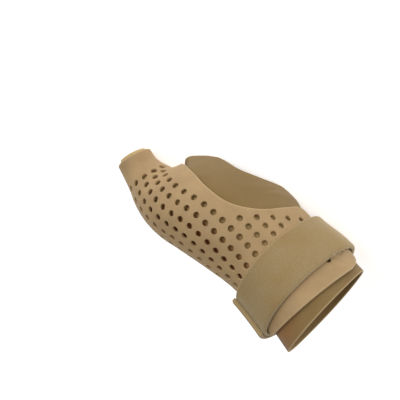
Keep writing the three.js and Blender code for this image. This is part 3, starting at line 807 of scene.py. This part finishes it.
turns = np.linspace(STRAP_START_ANGLE, STRAP_END_ANGLE, STRAP_STEPS)
end_shares = np.array([0.03, 0.09, 0.2, 0.4]) * (turns[1] - turns[0])
turns = np.unique(np.concatenate([turns, turns[0] + end_shares, turns[-1] - end_shares]))
shares = crowded(STRAP_COLUMNS, STRAP_MARGINS, STRAP_WIDTH)
lean, per_step = strap_middle(turns)
strap_at = lean[:, None] + (shares - 0.5) * (STRAP_WIDTH / per_step)[:, None]
strap_angle = np.repeat(turns[:, None], len(shares), axis=1)
ramp_start = STRAP_START_ANGLE + 360 - STRAP_RAMP_ANGLE
ramp = np.clip((strap_angle - ramp_start) / (STRAP_RAMP_ANGLE - 2), 0, 1)
lapped = ramp * ramp * (3 - 2 * ramp)
under = SHELL_OUTSIDE + LAYER_GAP + (STRAP_WALL + STRAP_LAP_GAP) * lapped
strap_closed = np.zeros(len(turns), bool)
middle = form_point(strap_at, strap_angle, under + STRAP_WALL / 2)
strap_cut = edge_distance(middle, strap_closed)
drop = rounding(strap_cut, STRAP_ROUNDING)
strap_outer = rested(form_point(strap_at, strap_angle, under + STRAP_WALL - drop))
strap_inner = rested(form_point(strap_at, strap_angle, under + drop * STRAP_UNDERSIDE_ROUNDING))
strap_mesh = walled_sheet(
    "strap_band", strap_outer, strap_inner, strap_closed, strap_cut, lengthwise_way(middle)
)
tidy_mesh(strap_mesh, SMOOTH_ANGLE)

# Brushed loop pile: short nylon loops stand up from a knitted ground and lean in patches where fingers
# brushed them. The clumps of loops are about 0.7 mm across.
strap_material, tree, point = new_material("brushed_nylon_loop_pile")
clumps = noise(tree, point, 1500.0, 4.0, 0.65)
brushed = noise(tree, point, 45.0, 3.0, 0.5)
body = mixed(tree, ranged(tree, brushed, 0.3, 0.7), "#a08354", "#ab9878")
pile = mixed(tree, ranged(tree, clumps, 0.2, 0.75), "#8f774b", body)
# Painted highlight: paler within about 0.6 mm of the cut edges.
strap_edge_highlight = ranged(tree, mesh_value(tree, "from_cut"), 0.05, 0.6, 0.55, 0.0)
finish_surface(tree, {
    "Base Color": mixed(tree, strap_edge_highlight, pile, "#c3ad82"),
    "Roughness": 0.95,
    "Specular IOR Level": 0.15,
    "Sheen Weight": 0.55,
    "Sheen Roughness": 0.45,
    "Sheen Tint": linear("#ddd4c0"),
    "Normal": bumped(tree, clumps, 0.35, 0.00012),
})
strap_mesh.materials.append(strap_material)
strap_band = add_object("strap_band", strap_mesh)
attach(strap_band, "root")
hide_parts("strap")

# The frayed loops
# Loops of the strap's pile have pulled out of its edge on the back of the wrist: a few fine, pale nylon
# threads, 2 to 4 mm long, that curl away from the cut and lie over the shell.
FRAY_COUNT = 24
FRAY_FIRST_TURN, FRAY_LAST_TURN = 92.0, 118.0
FRAY_LENGTHS = (0.0012, 0.0036)
FRAY_THREAD_SHARE = 0.03
FRAY_SPREAD = 0.7
FRAY_CURL = 0.45
FRAY_ROOT_SHARE = 0.48
random = np.random.default_rng(11)
fray_turns = random.uniform(FRAY_FIRST_TURN, FRAY_LAST_TURN, FRAY_COUNT)
fray_lean, fray_step = strap_middle(fray_turns)
fray_at = fray_lean + FRAY_ROOT_SHARE * STRAP_WIDTH / fray_step
fray_height = SHELL_OUTSIDE + LAYER_GAP + STRAP_WALL * random.uniform(0.2, 0.8, FRAY_COUNT)
fray_roots = form_point(fray_at, fray_turns, fray_height)
fray_aim = form_point(fray_at + 0.15, fray_turns, fray_height) - fray_roots
fray_aim /= np.linalg.norm(fray_aim, axis=1)[:, None]
fray_aim += random.uniform(-FRAY_SPREAD, FRAY_SPREAD, (FRAY_COUNT, 3))
roots_mesh = bpy.data.meshes.new("fray_roots")
roots_mesh.from_pydata(rested(fray_roots).tolist(), [], [])
aim = roots_mesh.attributes.new("aim", "FLOAT_VECTOR", "POINT")
aim.data.foreach_set("vector", (fray_aim @ np.array(to_rest.to_3x3()).T).ravel())
length = roots_mesh.attributes.new("length", "FLOAT", "POINT")
length.data.foreach_set("value", random.uniform(*FRAY_LENGTHS, FRAY_COUNT))
fray_threads = add_object("fray_threads", roots_mesh)

# The same nylon as the strap's pile, undyed where the loops have pulled straight
thread_material, tree, point = new_material("pulled_nylon_loops")
finish_surface(tree, {
    "Base Color": mixed(tree, noise(tree, point, 500.0), "#b49a66", "#dcc9a0"),
    "Roughness": 0.6,
    "Sheen Weight": 0.4,
})

fray, fray_sockets, given = new_group("frayed_loops", {
    "Roots": "Geometry", "Thread Share": "Float", "Curl": "Float", "Finish": "Material",
}, "Threads")
bend = add_node(fray, "ShaderNodeCombineXYZ", {"X": given["Curl"], "Y": 0.0, "Z": 0.6})
thread = add_node(fray, "GeometryNodeCurveQuadraticBezier", {
    "Resolution": 8, "Start": (0.0, 0.0, -0.1), "Middle": bend.outputs[0], "End": (0.0, 0.15, 1.0),
})
profile = add_node(fray, "GeometryNodeCurvePrimitiveCircle", {
    "Resolution": 6, "Radius": given["Thread Share"],
})
tube = add_node(fray, "GeometryNodeCurveToMesh", {
    "Curve": thread.outputs["Curve"], "Profile Curve": profile.outputs["Curve"], "Fill Caps": True,
})
aims = add_node(fray, "GeometryNodeInputNamedAttribute", {"Name": "aim"}, data_type="FLOAT_VECTOR")
lengths = add_node(fray, "GeometryNodeInputNamedAttribute", {"Name": "length"}, data_type="FLOAT")
turn = add_node(fray, "FunctionNodeAlignRotationToVector", {"Vector": aims.outputs["Attribute"]}, axis="Z")
threads = add_node(fray, "GeometryNodeInstanceOnPoints", {
    "Points": given["Roots"], "Instance": tube.outputs["Mesh"],
    "Rotation": turn.outputs["Rotation"], "Scale": lengths.outputs["Attribute"],
})
close_group(fray, threads.outputs["Instances"], given["Finish"], "Threads")
thread_mesh = run_group(fray, fray_sockets, fray_threads, {
    "Thread Share": FRAY_THREAD_SHARE, "Curl": FRAY_CURL, "Finish": thread_material,
}, "frayed_loops", thread_material)
frayed_loops = add_object("frayed_loops", thread_mesh)
bpy.data.objects.remove(fray_threads)
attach(frayed_loops, "root")
